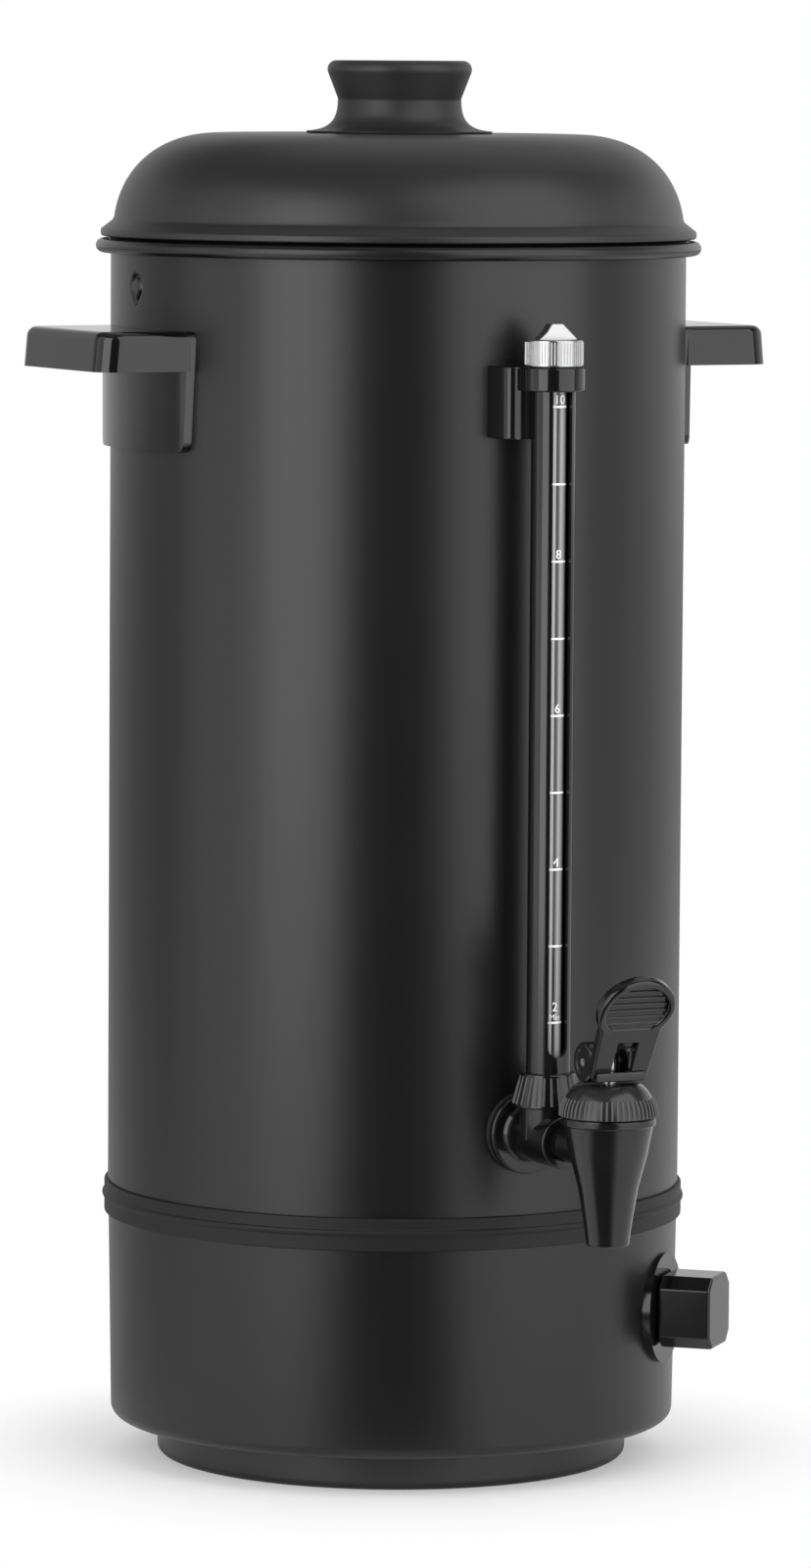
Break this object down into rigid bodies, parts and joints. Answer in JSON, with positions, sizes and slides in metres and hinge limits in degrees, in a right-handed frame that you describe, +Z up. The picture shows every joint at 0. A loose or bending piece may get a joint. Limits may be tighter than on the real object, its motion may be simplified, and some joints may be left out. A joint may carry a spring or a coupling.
{
  "type": "hot water urn",
  "caption": "Tall round electric hot water urn in satin black with a lift-off domed lid, ledge handles, a sight gauge beside the front and a lever tap on a heated base.",
  "frame": {"origin": "centre of the foot plinth's flat underside, where the urn stands", "axes": "+Z up along the tank axis, -Y out of the tap, X through the two handles"},
  "size_m": [0.283, 0.3224, 0.537],
  "materials": {
    "satin_black_paint": "satin powder coat",
    "satin_black_plastic": "fine satin",
    "gloss_black_plastic": "gloss moulded",
    "steel": "brushed",
    "chrome": "polished",
    "clear_tube": "clear",
    "black_rubber": "matte",
    "silicone": "matte translucent white",
    "brass": "machined",
    "aluminium": "cast",
    "ceramic": "matte"
  },
  "bodies": {
    "urn": {"tank_shell": "satin_black_paint", "tank_floor": "steel", "seam_band": "satin_black_paint", "base_housing": "satin_black_paint", "foot_plinth": "satin_black_plastic", "tie_studs": "steel", "foot_screws": "steel", "left_handle": "gloss_black_plastic", "right_handle": "gloss_black_plastic", "handle_screws": "steel", "handle_washers": "silicone", "gauge_bracket": "gloss_black_plastic", "bracket_screw": "steel", "bracket_washer": "silicone", "gauge_guard": "gloss_black_plastic", "gauge_glass": "clear_tube", "gauge_seals": "black_rubber", "gauge_nut": "gloss_black_plastic", "gauge_tee": "gloss_black_plastic", "tap_gasket": "black_rubber", "inner_gasket": "silicone", "tap_locknut": "brass", "tap_body": "gloss_black_plastic", "tap_bonnet": "gloss_black_plastic", "tap_spring": "steel", "dial_plate": "gloss_black_plastic", "thermostat": "ceramic", "thermostat_nut": "steel", "heater_plate": "aluminium", "heating_element": "steel", "thermal_cutout": "ceramic", "heat_shield": "steel", "terminal_block": "ceramic", "mains_inlet": "gloss_black_plastic", "inlet_pins": "brass", "inlet_screws": "steel"},
    "lid": {"lid_shell": "satin_black_paint", "lid_skirt": "steel", "lid_knob": "satin_black_plastic", "knob_screw": "steel"},
    "stem": {"tap_stem": "chrome", "seat_cup": "silicone", "lever_pin": "steel"},
    "lever": {"tap_lever": "gloss_black_plastic"},
    "control": {"control_knob": "gloss_black_plastic", "thermostat_shaft": "steel"},
    "cap": {"gauge_cap": "chrome"}
  },
  "joints": [
    {"name": "lid_lift", "type": "slide", "parent": "urn", "child": "lid", "axis": [0, 0, 1], "range_m": [0, 0.12]},
    {"name": "lever_tilt", "type": "hinge", "parent": "stem", "child": "lever", "pos_m": [0, -0.1784, 0.1725], "axis": [1, 0, 0], "range_deg": [0, 35], "stiffness_Nm_per_rad": 0.08, "springref_deg": -20.05},
    {"name": "stem_lift", "type": "slide", "parent": "urn", "child": "stem", "axis": [0, 0, 1], "range_m": [0, 0.0053], "deforming": ["tap_spring"]},
    {"name": "control_knob_turn", "type": "hinge", "parent": "urn", "child": "control", "pos_m": [0.08485, -0.08485, 0.06175], "axis": [0.7071, -0.7071, 0], "range_deg": [0, 270]},
    {"name": "gauge_cap_turn", "type": "hinge", "parent": "urn", "child": "cap", "pos_m": [0, -0.13, 0.429], "axis": [0, 0, 1], "continuous": true}
  ],
  "couplings": [
    {"joint": "lever_tilt", "follows": "stem_lift", "rad_per_m": 115}
  ]
}
